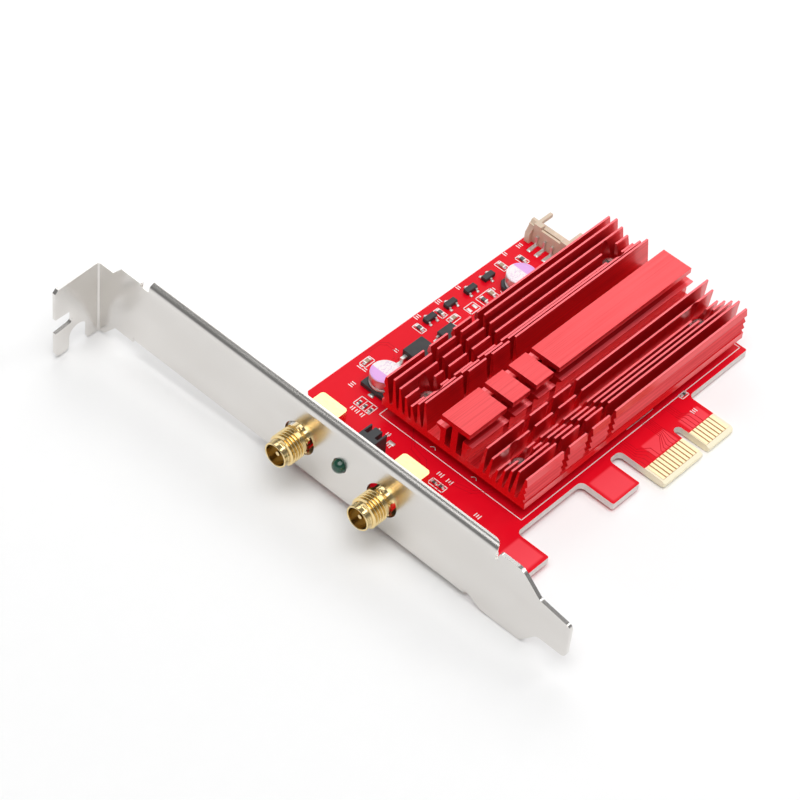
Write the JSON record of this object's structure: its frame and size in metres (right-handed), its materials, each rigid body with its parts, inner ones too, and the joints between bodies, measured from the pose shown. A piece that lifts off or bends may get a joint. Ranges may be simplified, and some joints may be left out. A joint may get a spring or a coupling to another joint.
{
  "type": "wireless network card",
  "caption": "Expansion card with a folded steel slot bracket, red circuit board, red finned heatsink, gold card-edge contacts and gold antenna jacks beside a green lamp.",
  "frame": {"origin": "On the bracket's outer face, level with the ends of the gold contacts and with the board's component side.", "axes": "+X from the bracket into the computer, along the board; +Y from the card edge to the bracket's ear; +Z out of the component side."},
  "size_m": [0.0968, 0.1208, 0.0219],
  "materials": {
    "bracket_steel": "satin nickel plate on steel sheet",
    "screw_steel": "plated steel",
    "board_red": "red solder mask on glass-fibre laminate",
    "contact_gold": "gold plate",
    "jack_gold": "gold plate on brass",
    "insulator_white": "white fluoropolymer",
    "lamp_green": "clear tinted resin",
    "black_plastic": "moulded black resin",
    "tinned_metal": "bright tin plate",
    "heatsink_red": "red anodised extrusion",
    "standoff_brass": "turned brass",
    "pad_grey": "soft silicone pad",
    "module_green": "green solder mask",
    "header_cream": "natural nylon",
    "can_aluminium": "bright aluminium can",
    "chip_black": "dark glazed chip",
    "chip_tan": "bare ceramic chip"
  },
  "bodies": {
    "root": {"bracket": "bracket_steel", "bracket_screws": "screw_steel", "board": "board_red", "contacts_front": "contact_gold", "contacts_back": "contact_gold", "jack_block_1": "jack_gold", "jack_block_2": "jack_gold", "jack_barrel_1": "jack_gold", "jack_barrel_2": "jack_gold", "jack_insulator_1": "insulator_white", "jack_insulator_2": "insulator_white", "jack_pin_1": "jack_gold", "jack_pin_2": "jack_gold", "lamp_lens": "lamp_green", "lamp_holder": "black_plastic", "lamp_leads": "tinned_metal", "heatsink": "heatsink_red", "heatsink_screws": "screw_steel", "heatsink_standoffs": "standoff_brass", "thermal_pad": "pad_grey", "radio_board": "module_green", "radio_chip": "black_plastic", "radio_shield": "tinned_metal", "header_housing": "header_cream", "header_pins": "tinned_metal", "capacitor_can_1": "can_aluminium", "capacitor_can_2": "can_aluminium", "capacitor_base_1": "black_plastic", "capacitor_base_2": "black_plastic", "capacitor_terminals_1": "tinned_metal", "capacitor_terminals_2": "tinned_metal", "transistor_body_1": "black_plastic", "transistor_body_2": "black_plastic", "transistor_body_3": "black_plastic", "transistor_body_4": "black_plastic", "transistor_legs_1": "tinned_metal", "transistor_legs_2": "tinned_metal", "transistor_legs_3": "tinned_metal", "transistor_legs_4": "tinned_metal", "regulator_body": "black_plastic", "regulator_legs": "tinned_metal", "controller_body": "black_plastic", "controller_legs": "tinned_metal", "chip_resistors": "chip_black", "chip_capacitors": "chip_tan", "chip_ends": "tinned_metal"}
  },
  "joints": []
}
